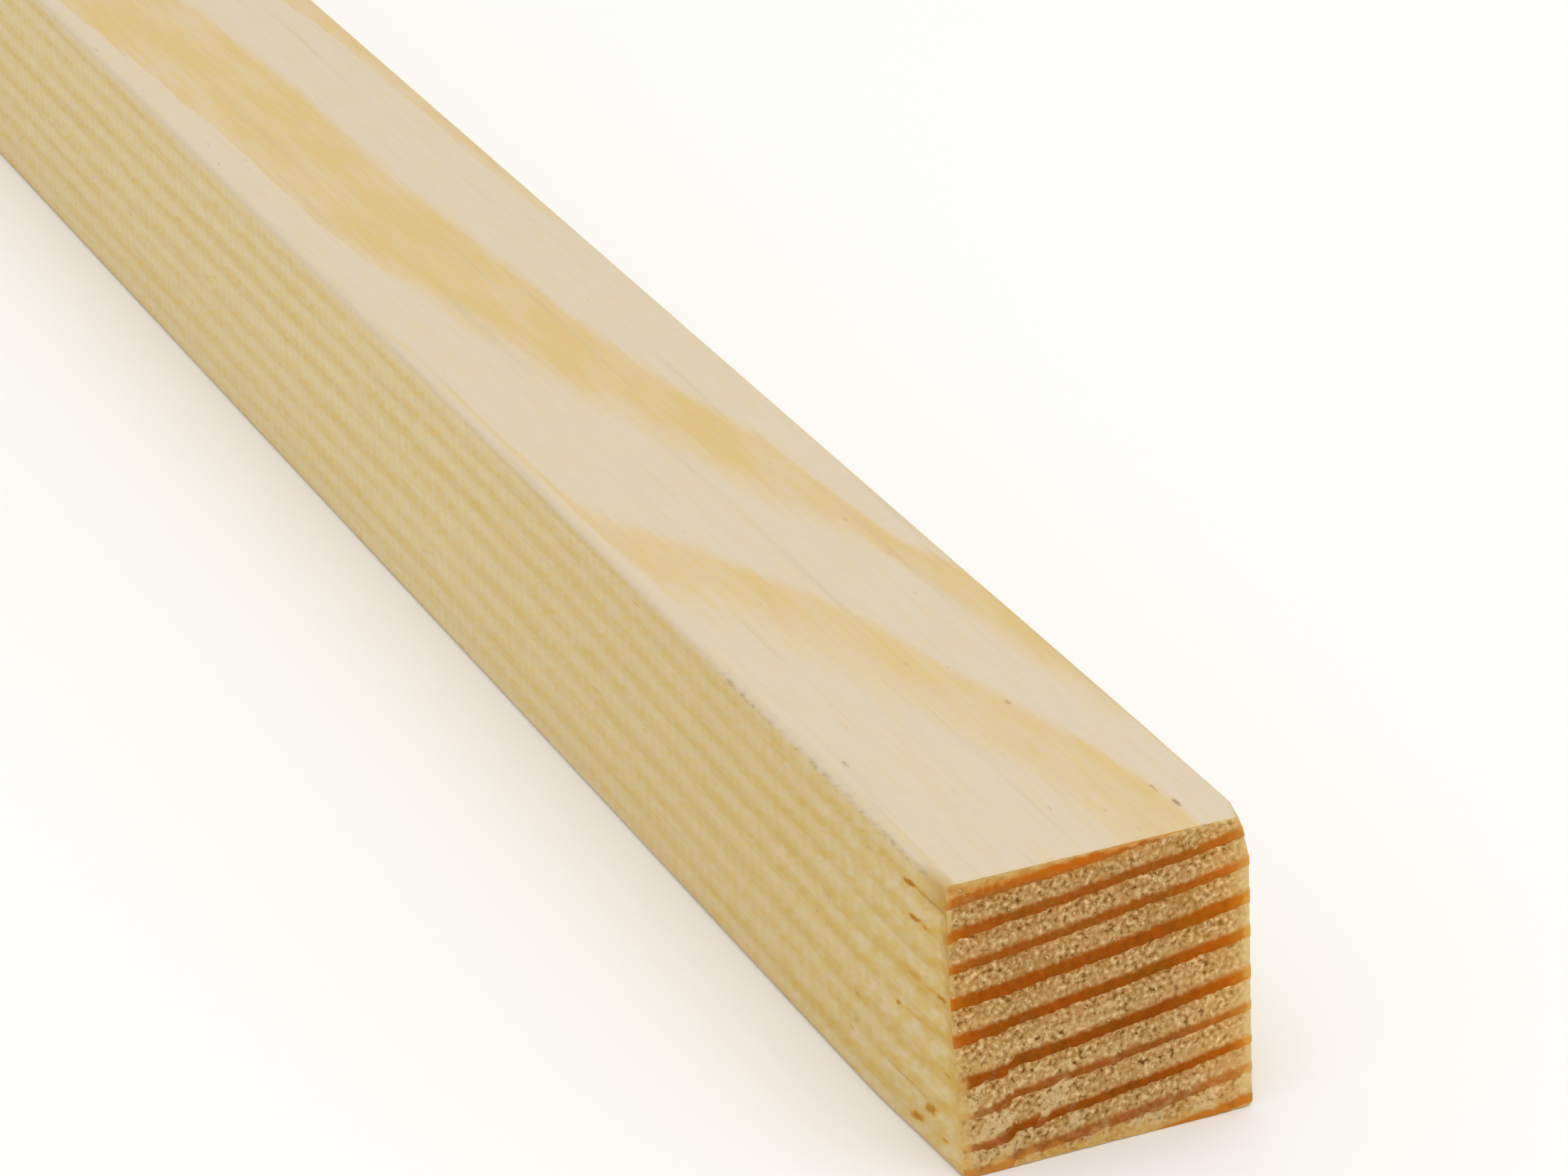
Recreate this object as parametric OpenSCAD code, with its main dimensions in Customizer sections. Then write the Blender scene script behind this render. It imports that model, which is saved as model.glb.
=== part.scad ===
// Planed square pine batten, in millimetres.
// One straight piece sawn from the log and planed on its four long faces. The long edges are eased to a
// small radius and both ends are left as the cross-cut saw leaves them, square and sharp.
// The batten lies along X on the plane z = 0, with the middle of its underside at the origin.

/* [Planed section] */
// Width of the planed section, across Y
section_width = 20; // [12:0.5:60]
// Height of the planed section, along Z
section_height = 20; // [12:0.5:60]
// Radius that the four long edges are eased to
arris_radius = 0.5; // [0.3:0.1:3]

/* [Stock] */
// Length of the batten along the grain
stock_length = 1000; // [300:50:3000]

/* [Hidden] */
// Sides of a full circle in the eased edges
$fn = 64;
// Planed flats that are left between the eased edges
flat_width = section_width - 2 * arris_radius;
flat_height = section_height - 2 * arris_radius;
// Colour of fresh planed pine
pine_colour = "#DECFAB";

// The section as the planer leaves it, standing on y = 0: two crossed rectangles with a round in each corner
module planed_section() {
    translate([-section_width / 2, arris_radius])
        square([section_width, flat_height]);
    translate([-flat_width / 2, 0])
        square([flat_width, section_height]);
    for (side = [-1, 1], level = [arris_radius, section_height - arris_radius])
        translate([side * flat_width / 2, level])
            circle(r = arris_radius);
}

// The section run along the grain, from one sawn end to the other
module batten() {
    color(pine_colour)
        translate([-stock_length / 2, 0, 0])
            rotate([90, 0, 90])
                linear_extrude(height = stock_length)
                    planed_section();
}

batten();
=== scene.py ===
# %% [markdown]
# # A planed pine batten
# The real thing is one straight piece of softwood. A saw cut it from the log, a planer smoothed its four
# long faces and eased the edges, and a cross-cut saw left its two ends rough. The solid model gives its
# length and section. This lesson dresses that solid: it grows the year rings once, as a small formula,
# and uses the same formula for the relief of the mesh and for the colour of every face, so that both
# always agree.

import math

import bpy
import numpy as np
from mathutils import Matrix, Vector


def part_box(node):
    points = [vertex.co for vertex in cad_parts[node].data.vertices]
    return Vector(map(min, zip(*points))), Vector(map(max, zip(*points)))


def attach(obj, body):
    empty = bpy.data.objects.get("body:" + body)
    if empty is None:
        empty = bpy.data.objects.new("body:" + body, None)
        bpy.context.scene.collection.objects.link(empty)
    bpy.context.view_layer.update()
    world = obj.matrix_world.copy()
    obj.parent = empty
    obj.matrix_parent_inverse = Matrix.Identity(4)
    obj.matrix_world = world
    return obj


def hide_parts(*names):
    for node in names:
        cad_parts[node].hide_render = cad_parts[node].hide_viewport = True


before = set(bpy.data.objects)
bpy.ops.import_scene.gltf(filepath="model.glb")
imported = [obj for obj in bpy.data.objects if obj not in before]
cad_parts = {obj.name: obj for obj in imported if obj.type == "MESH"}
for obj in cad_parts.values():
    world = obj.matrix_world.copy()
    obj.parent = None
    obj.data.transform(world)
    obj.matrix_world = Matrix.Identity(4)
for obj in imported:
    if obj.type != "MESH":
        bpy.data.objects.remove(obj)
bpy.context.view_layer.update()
MM = 0.001
low, high = (Vector(corner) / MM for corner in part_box("batten"))
LENGTH, WIDTH, HEIGHT = high - low
print(f"batten {LENGTH:.0f} x {WIDTH:.0f} x {HEIGHT:.0f} mm, near end at x = {high.x:.0f} mm")

# %% [markdown]
# ## A few small helpers
# Node trees are graphs, and a graph written line by line is hard to read. One helper adds a node, gives
# it its settings, fills its sockets with plain values or with the outputs of other nodes, and hands back
# the first output that is in use. Sockets filled in order stand in a list, and others in a dictionary, by
# number or by name. A Map Range takes a value, the two ends it comes from and the two it goes to. A Mix
# takes its share as socket 0, and two numbers as 2 and 3 or two colours as 6 and 7. Curves and colour
# ramps are settings too: a list of points or of stops. The next helper turns the hex colours that people
# pick from a screen into the linear numbers that light is worked out with, and the last one draws a noise
# out along the grain.

# %% Helpers for nodes and colours
MATH = "ShaderNodeMath"
VECTOR = "ShaderNodeVectorMath"
NOISE = "ShaderNodeTexNoise"
RANGE = "ShaderNodeMapRange"
MIX = "ShaderNodeMix"
CURVE = "ShaderNodeFloatCurve"
RAMP = "ShaderNodeValToRGB"
PARTS = "ShaderNodeSeparateXYZ"
JOINED = "ShaderNodeCombineXYZ"
# Settings that are used again and again
COLOURS = {"data_type": "RGBA"}
TINT = {**COLOURS, "blend_type": "MULTIPLY"}
SMOOTH = {"interpolation_type": "SMOOTHSTEP"}
# Nearly all of a noise lies within the first pair of values, and most of it within the second
NOISE_SPREAD = (0.3, 0.7)
NOISE_MIDDLE = (0.35, 0.65)


def add(tree, kind, links=(), **settings):
    """Adds one node with its settings, fills its sockets and returns the first output that is in use."""
    node = tree.nodes.new(kind)
    for setting, value in settings.items():
        if setting == "points":
            points = node.mapping.curves[0].points
            for _ in value[2:]:
                points.new(0.5, 0.5)
            for point, place in zip(points, value):
                point.location = place
                point.handle_type = "AUTO_CLAMPED"
            node.mapping.update()
        elif setting == "stops":
            stops = node.color_ramp.elements
            for _ in value[2:]:
                stops.new(0.5)
            for stop, (position, colour) in zip(stops, value):
                stop.position = position
                stop.color = colour
        else:
            setattr(node, setting, value)
    for socket, source in links.items() if isinstance(links, dict) else enumerate(links):
        if isinstance(source, bpy.types.NodeSocket):
            tree.links.new(source, node.inputs[socket])
        else:
            node.inputs[socket].default_value = source
    return next((socket for socket in node.outputs if socket.enabled), None)


def linear(hex_colour):
    """Turns an sRGB hex colour into linear red, green, blue and alpha."""
    shares = [int(hex_colour[i:i + 2], 16) / 255 for i in (1, 3, 5)]
    return [s / 12.92 if s <= 0.04045 else ((s + 0.055) / 1.055) ** 2.4 for s in shares] + [1.0]


def along_grain(tree, place, size_mm, detail):
    """Adds a noise whose blots are drawn out along the grain, to a length and a thickness in mm."""
    length, thickness = size_mm
    stretch = (1 / length, 1 / thickness, 1 / thickness)
    stretched = add(tree, VECTOR, [place, stretch], operation="MULTIPLY")
    return add(tree, NOISE, {"Vector": stretched, "Scale": 1.0, "Detail": detail})


print("cream in linear light:", [round(share, 3) for share in linear("#D5C5AA")])

# %% [markdown]
# ## The year rings
# A tree adds one ring a year: pale early wood first, then darker late wood that ends in a sharp line. On
# this batten the pith lay far above the top face, so the rings cross the end as shallow arcs and each arc
# is dark on its lower edge. A texture wrapped round the box would not join up at the corners. Instead the
# rings are solid: a place in the wood is measured from the pith, and that radius says which year it grew
# in and how late in that year. The grain also climbs a little away from the near end, which draws the
# long amber tongues on the top.

# %% The ring formula, as nodes that work in a material and in Geometry Nodes alike
# Where the pith runs, across the section, and how far the middle of the section is from it
PITH_MM = (0.0, -26.6, 234.0)
RING_RADIUS_MM = math.hypot(PITH_MM[1], PITH_MM[2] - HEIGHT / 2)
# One row a year, as counted on the near end: where the year ends, in mm outwards from the middle of the
# section, the season in which its late wood sets in, and how dark that late wood is
YEARS = (
    (-13.9, 0.64, 0.80), (-11.4, 0.64, 0.80), (-9.05, 0.67, 0.70), (-7.13, 0.61, 0.85), (-5.00, 0.66, 0.85),
    (-2.56, 0.59, 1.00), (-0.32, 0.64, 0.95), (2.50, 0.65, 0.97), (4.61, 0.69, 0.80), (6.95, 0.68, 0.95),
    (8.92, 0.60, 0.70), (11.0, 0.64, 0.90), (13.2, 0.66, 0.80), (15.4, 0.60, 1.00), (17.6, 0.68, 0.80),
    (19.8, 0.63, 0.90),
)
# How far the rings have climbed at a distance from the near end, both in mm
CLIMB_MM = (
    (0, 0.0), (7, 0.03), (14, 0.20), (24, 0.46), (37, 0.80), (49, 1.33), (61, 1.78), (74, 2.04), (98, 2.36),
    (125, 2.55), (150, 2.6), (300, 3.4), (480, 2.0), (700, 3.2), (1000, 1.4),
)
# The climb is drawn as a share of this much
CLIMB_MOST_MM = 4.0
# The grain dips at the left face, within a thin layer that starts a little behind the sawn end
DIP_MM = 0.8
DIP_LAYER_MM = 1.5
DIP_START_MM = 3.0
# On the right of the section the rings stand a little higher, along a stretch that starts and ends softly
RISE_MM = 0.55
RISE_ACROSS_MM = (5.5, 8.0)
RISE_STARTS_MM = (5.0, 16.0)
RISE_ENDS_MM = (46.0, 66.0)
# A slow noise bends the rings this far either way, and its blots are this long and thick
BEND_MM = 0.2
BEND_SIZE_MM = (90.0, 8.0)
# How ragged the line between two years is, as a share of a year, on the planed faces and on a sawn end,
# the size of its rags, and the distances from an end between which it changes
RAGGED = (0.03, 0.07)
RAG_SIZE_MM = (12.0, 0.4)
RAGGED_FROM_MM = (2.0, 0.5)
# A year's own row holds this far into the spring that follows it
YEAR_HOLDS = 0.3
# Late wood sets in over this much of the year before and after its season, and ends sharply
LATE_ONSET = (-0.06, 0.11)
LATE_ENDS = (0.97, 1.0)
# On a planed face light goes a little way into the wood and softens both edges of the band, so it reaches
# into the next year. Far from the near end the late wood there takes up more of the year.
SOFT_ONSET = (-0.08, 0.20)
SOFT_ENDS = (0.96, 1.06)
SOFT_WIDENS_MM = (70.0, 125.0)
SOFT_WIDENS_BY = 0.22
# Cut square across the rings, the band is softer still and swells and fades like a wave about this season
WAVE_MIDDLE = 0.80


def growth_rings(tree, place):
    """Adds nodes that say, for a place in mm, its season (0 in spring to 1) and its late wood."""
    from_pith = add(tree, VECTOR, [place, PITH_MM], operation="SUBTRACT")
    across = add(tree, VECTOR, [from_pith, (0.0, 1.0, 1.0)], operation="MULTIPLY")
    radius = add(tree, VECTOR, [across], operation="LENGTH")
    parts = add(tree, PARTS, [place]).node.outputs
    share = add(tree, RANGE, [parts[0], LENGTH / 2, -LENGTH / 2])
    climb_points = [(distance / LENGTH, climb / CLIMB_MOST_MM) for distance, climb in CLIMB_MM]
    climb = add(tree, CURVE, {"Value": share}, points=climb_points)
    # A slow noise, long along the grain, bends the rings so that no two lines run quite parallel.
    bend = along_grain(tree, place, BEND_SIZE_MM, 1.0)
    bend = add(tree, RANGE, [bend, 0.0, 1.0, -BEND_MM - RING_RADIUS_MM, BEND_MM - RING_RADIUS_MM])
    offset = add(tree, MATH, [radius, bend], operation="ADD")
    offset = add(tree, MATH, [climb, CLIMB_MOST_MM, offset], operation="MULTIPLY_ADD")
    left_face = add(tree, RANGE, [parts[1], DIP_LAYER_MM - WIDTH / 2, -WIDTH / 2], **SMOOTH)
    behind_end = add(tree, RANGE, [share, 0.0, DIP_START_MM / LENGTH])
    dip = add(tree, MATH, [left_face, behind_end], operation="MULTIPLY")
    offset = add(tree, MATH, [dip, -DIP_MM, offset], operation="MULTIPLY_ADD")
    right_part = add(tree, RANGE, [parts[1], *RISE_ACROSS_MM], **SMOOTH)
    starts_from, starts_to = (distance / LENGTH for distance in RISE_STARTS_MM)
    rise_starts = add(tree, RANGE, [share, starts_from, starts_to, 0.0, RISE_MM])
    ends_from, ends_to = (distance / LENGTH for distance in RISE_ENDS_MM)
    rise_ends = add(tree, RANGE, [share, ends_to, ends_from])
    rise = add(tree, MATH, [rise_starts, rise_ends], operation="MULTIPLY")
    offset = add(tree, MATH, [rise, right_part, offset], operation="MULTIPLY_ADD")
    # The ends of the years are drawn as a curve, so that wide and narrow years fall where they were counted.
    first, last, years = YEARS[0][0], YEARS[-1][0], len(YEARS) - 1
    counted = [((row[0] - first) / (last - first), index / years) for index, row in enumerate(YEARS)]
    outwards = add(tree, RANGE, [offset, first, last])
    age = add(tree, CURVE, {"Value": outwards}, points=counted)
    age = add(tree, MATH, [age, float(years)], operation="MULTIPLY")
    # Single cells make the line between two years ragged, most where the saw has cut them.
    ragged = along_grain(tree, place, RAG_SIZE_MM, 1.0)
    ragged = add(tree, RANGE, [ragged, 0.0, 1.0, -1.0, 1.0])
    from_middle = add(tree, MATH, [parts[0]], operation="ABSOLUTE")
    ragged_from, ragged_to = (LENGTH / 2 - distance for distance in RAGGED_FROM_MM)
    how_ragged = add(tree, RANGE, [from_middle, ragged_from, ragged_to, *RAGGED])
    age = add(tree, MATH, [ragged, how_ragged, age], operation="MULTIPLY_ADD")
    season = add(tree, MATH, [age], operation="FRACT")
    # A year's own row holds into the spring that follows it, where its late wood still shows through.
    year = add(tree, MATH, [age, YEAR_HOLDS], operation="SUBTRACT")
    year = add(tree, MATH, [year], operation="FLOOR")
    year = add(tree, MATH, [year, float(years)], operation="DIVIDE")
    starts = [(index / years, row[1]) for index, row in enumerate(YEARS[1:])]
    depths = [(index / years, row[2]) for index, row in enumerate(YEARS[1:])]
    start = add(tree, CURVE, {"Value": year}, points=starts)
    depth = add(tree, CURVE, {"Value": year}, points=depths)
    since_start = add(tree, MATH, [season, start], operation="SUBTRACT")
    sets_in = add(tree, RANGE, [since_start, *LATE_ONSET], **SMOOTH)
    ends = add(tree, RANGE, [season, *LATE_ENDS, 1.0, 0.0], **SMOOTH)
    late = add(tree, MATH, [sets_in, ends], operation="MULTIPLY")
    late = add(tree, MATH, [late, depth], operation="MULTIPLY")
    # The soft band is read from half a year on, so that it may run over the year's end.
    half_on = add(tree, MATH, [age, 0.5], operation="ADD")
    half_on = add(tree, MATH, [half_on], operation="FRACT")
    widens_from, widens_to = (distance / LENGTH for distance in SOFT_WIDENS_MM)
    wider = add(tree, RANGE, [share, widens_from, widens_to, 0.5, 0.5 + SOFT_WIDENS_BY])
    soft_since = add(tree, MATH, [half_on, start], operation="SUBTRACT")
    soft_since = add(tree, MATH, [soft_since, wider], operation="ADD")
    rises = add(tree, RANGE, [soft_since, *SOFT_ONSET], **SMOOTH)
    falls = add(tree, RANGE, [half_on, SOFT_ENDS[1] - 0.5, SOFT_ENDS[0] - 0.5], **SMOOTH)
    soft = add(tree, MATH, [rises, falls], operation="MULTIPLY")
    soft = add(tree, MATH, [soft, depth], operation="MULTIPLY")
    turn = add(tree, MATH, [age, WAVE_MIDDLE], operation="SUBTRACT")
    turn = add(tree, MATH, [turn, 2 * math.pi], operation="MULTIPLY")
    wave = add(tree, MATH, [turn], operation="COSINE")
    wave = add(tree, MATH, [wave, 0.5, 0.5], operation="MULTIPLY_ADD")
    wave = add(tree, MATH, [wave, depth], operation="MULTIPLY")
    return {"season": season, "late": late, "soft": soft, "wave": wave}


print(f"{len(YEARS) - 1} years drawn, from {YEARS[0][0]} to {YEARS[-1][0]} mm")

# %% [markdown]
# ## What the saw did to the ends
# A cross-cut saw pushes fibres out of the far side of its cut. On the near end the lower left is torn:
# tongues of early wood hang over the late wood below them. A wide, soft mask says where the tearing is,
# and a noise breaks it into tongues. Mesh and materials both read it, so a torn place is rough and pale
# at once.

# %% Masks on a sawn end
# Torn tongues: their size, how they lean, how they are drawn out, how fast they thin out upwards and, as
# a share of that, to the right, and the values of the noise between which a tongue ends
TORN_TONGUE_MM = 1.5
TORN_LEAN_DEG = 35.0
TORN_STRETCH = (0.0, 1.0, 0.45)
TORN_THINS = 0.45
TORN_THINS_RIGHT = 0.35
TORN_ENDS = (0.47, 0.54)
# How far the saw dragged torn wood, in patches of this size
DRAG_MM = 1.2
DRAG_SIZE_MM = 1.8
# How far the lower left slipped, left of a line this far across with jags of this depth and size, over
# this width, and between which shares of the height it ends
SLIP_MM = 0.42
SLIP_ACROSS_MM = -5.6
SLIP_JAG_MM = 1.6
SLIP_JAG_SIZE_MM = 0.8
SLIP_OVER_MM = 0.4
SLIP_ENDS = (0.55, 0.4)
# How far the upper left was pushed up, and where that sets in, as shares of the width and of the height
PUSHED_UP_MM = 0.30
PUSHED_ACROSS = (0.2, -0.4)
PUSHED_ABOVE = (0.8, 0.9)
# How wide the rim is: at the left from the bottom up to half the height, and at the other edges. It is
# broken in pieces of this size, by this share of its width, and fades between two shares of it
LEFT_RIM_MM = (1.8, 0.35)
RIGHT_RIM_MM = 0.55
TOP_RIM_MM = 0.35
BOTTOM_RIM_MM = 0.9
RIM_PIECE_MM = 0.8
RIM_BROKEN = 0.6
RIM_FADES = (1.3, 0.2)


def torn_share(tree, place):
    """Adds nodes that say how torn the sawn end is at a place in mm, most at its lower left."""
    low_left = (0.0, TORN_THINS_RIGHT / WIDTH, 1.0 / HEIGHT)
    reach = add(tree, VECTOR, [place, low_left], operation="DOT_PRODUCT")
    leaning = add(
        tree, "ShaderNodeVectorRotate", {"Vector": place, "Angle": math.radians(TORN_LEAN_DEG)},
        rotation_type="X_AXIS",
    )
    leaning = add(tree, VECTOR, [leaning, TORN_STRETCH], operation="MULTIPLY")
    tongues = add(tree, NOISE, {"Vector": leaning, "Scale": 1 / TORN_TONGUE_MM, "Detail": 3.0})
    excess = add(tree, MATH, [reach, -TORN_THINS, tongues], operation="MULTIPLY_ADD")
    return add(tree, RANGE, [excess, *TORN_ENDS], **SMOOTH)


def dragged(tree, place):
    """Adds nodes that give the place from which the saw has dragged the wood that is now seen at a place."""
    pull = add(tree, NOISE, {"Vector": place, "Scale": 1 / DRAG_SIZE_MM, "Detail": 2.0})
    pull = add(tree, VECTOR, [pull.node.outputs["Color"], (0.5, 0.5, 0.5)], operation="SUBTRACT")
    pull = add(tree, VECTOR, {0: pull, "Scale": DRAG_MM}, operation="SCALE")
    pull = add(tree, VECTOR, {0: pull, "Scale": torn_share(tree, place)}, operation="SCALE")
    moved = add(tree, VECTOR, [place, pull], operation="ADD")
    # On the lower left the wood has slipped down along a jagged line.
    parts = add(tree, PARTS, [place]).node.outputs
    jagged = add(tree, NOISE, {"Vector": place, "Scale": 1 / SLIP_JAG_SIZE_MM, "Detail": 2.0})
    jagged = add(tree, MATH, [jagged, SLIP_JAG_MM, parts[1]], operation="MULTIPLY_ADD")
    slipped = add(tree, RANGE, [jagged, SLIP_ACROSS_MM + SLIP_OVER_MM, SLIP_ACROSS_MM, 0.0, SLIP_MM])
    low_part = add(tree, RANGE, [parts[2], SLIP_ENDS[0] * HEIGHT, SLIP_ENDS[1] * HEIGHT])
    slip = add(tree, MATH, [slipped, low_part], operation="MULTIPLY")
    # On the upper left it was pushed up a little.
    pushed_from, pushed_to = (share * WIDTH for share in PUSHED_ACROSS)
    pushed = add(tree, RANGE, [parts[1], pushed_from, pushed_to, 0.0, PUSHED_UP_MM])
    high_part = add(tree, RANGE, [parts[2], PUSHED_ABOVE[0] * HEIGHT, PUSHED_ABOVE[1] * HEIGHT])
    pushed = add(tree, MATH, [pushed, high_part], operation="MULTIPLY")
    slip = add(tree, MATH, [slip, pushed], operation="SUBTRACT")
    slip = add(tree, JOINED, {"Z": slip})
    return add(tree, VECTOR, [moved, slip], operation="ADD")


def rim_share(tree, place):
    """Adds nodes that say how much of the thin, broken rim shows at a place on a sawn end."""
    parts = add(tree, PARTS, [place]).node.outputs
    left_width = add(tree, RANGE, [parts[2], 0.0, 0.5 * HEIGHT, *LEFT_RIM_MM])
    left = add(tree, MATH, [parts[1], WIDTH / 2], operation="ADD")
    nearest = add(tree, MATH, [left, left_width], operation="DIVIDE")
    other_edges = ((1, WIDTH / 2, -RIGHT_RIM_MM), (2, HEIGHT, -TOP_RIM_MM), (2, 0.0, BOTTOM_RIM_MM))
    for axis, start, width in other_edges:
        inside = add(tree, MATH, [parts[axis], start], operation="SUBTRACT")
        inside = add(tree, MATH, [inside, width], operation="DIVIDE")
        nearest = add(tree, MATH, [nearest, inside], operation="MINIMUM")
    broken = add(tree, NOISE, {"Vector": place, "Scale": 1 / RIM_PIECE_MM, "Detail": 3.0})
    broken = add(tree, RANGE, [broken, *NOISE_SPREAD, -RIM_BROKEN, RIM_BROKEN])
    nearest = add(tree, MATH, [nearest, broken], operation="ADD")
    return add(tree, RANGE, [nearest, *RIM_FADES], **SMOOTH)


def end_distance(tree, place):
    """Adds nodes that measure, in mm, how far a place is from the nearer sawn end."""
    along = add(tree, PARTS, [place]).node.outputs["X"]
    along = add(tree, MATH, [along], operation="ABSOLUTE")
    return add(tree, MATH, [LENGTH / 2, along], operation="SUBTRACT")


print(f"rim {TOP_RIM_MM} to {LEFT_RIM_MM[0]} mm wide, torn tongues about {TORN_TONGUE_MM} mm")

# %% [markdown]
# ## Planed pine, long grain
# Bare planed softwood is matt and creamy, with amber late wood. The planer leaves faint ripples across
# the grain, one for each cut of its knives, and the fibres show as fine streaks along it. The two upright
# faces are cut across the rings, so they are striped, and they look a little yellower than the flat ones.
# Every pattern is sized in millimetres on Object coordinates, which sit still on the wood whatever the
# camera does.

# %% The long-grain material
# Length of wood between two cuts of the knives
KNIFE_PITCH_MM = 1.5
# Length along the grain and thickness of each pattern's blots
STREAK_MM = (5.0, 0.3)
DAB_MM = (2.6, 0.7)
STROKE_MM = (2.2, 0.5)
CLOUD_MM = (14.0, 2.5)
GREY_STREAK_MM = (28.0, 0.9)
BLOTCH_MM = (2.0, 0.9)
CANAL_MM = (1.6, 0.35)
SMUDGE_MM = (1.8, 0.4)
# How far clouds, dabs and streaks change the amber, and how uneven flat faces are beside upright ones
CLOUDED = (0.6, 1.25)
DABBED = 0.38
STREAKED = (-0.12, 0.2)
FLAT_UNEVEN = 0.3
# How strong the stripes of the upright faces are at a sawn end, and from this distance on
STRIPES = (0.95, 0.62)
STRIPES_EVEN_MM = 50.0
# How much of the knife ripple, as painted shade, goes with the dabs, what both amount to on average, and how
# far they lighten and darken the wood
RIPPLE_SHARE = 0.1
SHADE_MIDDLE = 0.55
TONE_AND_RIPPLE_SHADE = 0.24
# Values of a noise from which on grey streaks, resin canals and smudges show, and how strong they get
GREY_FROM = (0.60, 0.72)
GREY = 0.25
CANAL_FROM = (0.83, 0.91)
CANAL = 0.2
SMUDGE_FROM = (0.48, 0.66)
SMUDGE = 1.8
# Tints of the upright faces: all over, towards a sawn end, where it is scorched, and of their two kinds of
# blotches
UPRIGHT_TINT = (1.07, 1.035, 0.81, 1.0)
YELLOWED_TINT = (0.93, 0.86, 0.74, 1.0)
SCORCHED_TINT = (1.0, 0.97, 0.83, 1.0)
CREAM_TINT = (1.04, 1.09, 1.36, 1.0)
YELLOW_TINT = (0.97, 0.93, 0.64, 1.0)
# How high the knife ripple stands beside the streaks, and the distance that their bump is scaled by
RIPPLE_HEIGHT = 0.3
PLANED_BUMP_MM = 0.06
# The ragged border at a sawn end: the size and depth of its rags, how much narrower it is on the flat
# faces, where it ends and how strong it is
BORDER_RAG_MM = 0.7
BORDER_RAGGED_MM = 2.2
BORDER_NARROWER_MM = 0.8
BORDER_ENDS_MM = (2.5, 1.2)
BORDER = 0.8
# Size of the noise that makes the marks ragged, and how far it moves them
WARP_SIZE_MM = 0.6
WARP_MM = (1.2, 0.0, 0.35)
# The upright faces grow yellower over the first length towards a sawn end, and the saw has scorched the
# second. Blotches cover the third, and are fainter further on.
YELLOWED_MM = 90.0
SCORCHED_MM = 7.0
BLOTCHED_MM = 30.0
BLOTCHED_FAINTLY = 0.25
# The planer tore the upright faces a little, in strokes that rise towards the near end
STROKES_RISE_DEG = 24.0
# The eased upper left edge ends between these distances from its corner, along one face or the other
EDGE_MM = (0.3, 0.9)
# That edge is rubbed along this stretch from the near end
RUBBED_MM = (40.0, 34.0)
# Marks near the near end, each placed by itself: distance from the end, place across and height, half of
# its length, half of its thickness, how steeply it rises towards the end in degrees, and how strong it
# is. All sizes are in mm. Flecks are split late wood on the left face, splits are dark lines there and on
# the top.
LEFT_MM = -WIDTH / 2
FLECKS = (
    (5.4, LEFT_MM, 17.85, 1.30, 0.27, 10, 0.90), (4.9, LEFT_MM, 15.75, 1.25, 0.26, 10, 0.85),
    (3.3, LEFT_MM, 15.75, 1.10, 0.26, 0, 0.50), (5.3, LEFT_MM, 11.70, 2.00, 0.48, 5, 0.45),
    (2.9, LEFT_MM, 11.80, 1.60, 0.24, 5, 0.40), (1.3, LEFT_MM, 11.90, 1.15, 0.24, 12, 0.75),
    (7.9, LEFT_MM, 8.55, 0.60, 0.33, 10, 0.60), (5.6, LEFT_MM, 8.80, 2.40, 0.24, 5, 0.35),
    (4.1, LEFT_MM, 3.00, 1.40, 0.50, 28, 0.72), (6.2, LEFT_MM, 1.50, 1.40, 0.42, 18, 0.70),
    (2.5, LEFT_MM, 1.60, 0.90, 0.24, 10, 0.55), (1.2, LEFT_MM, 6.80, 0.80, 0.26, 10, 0.50),
    (1.0, LEFT_MM, 14.40, 0.90, 0.40, 12, 0.35),
)
SPLITS = (
    (2.6, LEFT_MM, 18.00, 2.60, 0.18, 2, 0.45), (7.0, LEFT_MM, 3.60, 5.00, 0.14, 0, 0.30),
    (14.2, LEFT_MM, 6.20, 0.55, 0.33, 30, 0.25), (18.0, LEFT_MM, 11.10, 0.50, 0.28, 15, 0.25),
    (14.5, LEFT_MM, 4.20, 0.60, 0.26, 25, 0.25), (3.7, 6.85, HEIGHT, 0.80, 0.20, 0, 0.65),
    (6.1, 6.50, HEIGHT, 0.65, 0.15, 0, 0.40), (21.0, 3.80, HEIGHT, 0.50, 0.24, 0, 0.35),
    (17.8, -8.60, HEIGHT, 0.50, 0.16, 0, 0.40),
)
MARK_DEPTH_MM = 2.0
# How far the golden stain at the upper left corner of the near end reaches, and how far its middle is
# below the top
CORNER_STAIN_MM = (4.2, 0.9, 1.9)
STAIN_BELOW_MM = 0.8
STAIN = 0.75
# A placed mark fades out between these shares of its half size
SPOT_FADES = (1.25, 0.1)
# Index of refraction of dry wood
WOOD_IOR = 1.5


def new_material(name, roughness, specular):
    """Starts a material and returns it, its tree, its shader and the place of each point in mm."""
    material = bpy.data.materials.new(name)
    material.use_nodes = True
    tree = material.node_tree
    tree.nodes.clear()
    finish = {"Roughness": roughness, "IOR": WOOD_IOR, "Specular IOR Level": specular}
    shader = add(tree, "ShaderNodeBsdfPrincipled", finish).node
    add(tree, "ShaderNodeOutputMaterial", {"Surface": shader.outputs[0]})
    coordinates = add(tree, "ShaderNodeTexCoord").node.outputs["Object"]
    place = add(tree, VECTOR, {0: coordinates, "Scale": 1 / MM}, operation="SCALE")
    return material, tree, shader, place


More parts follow.
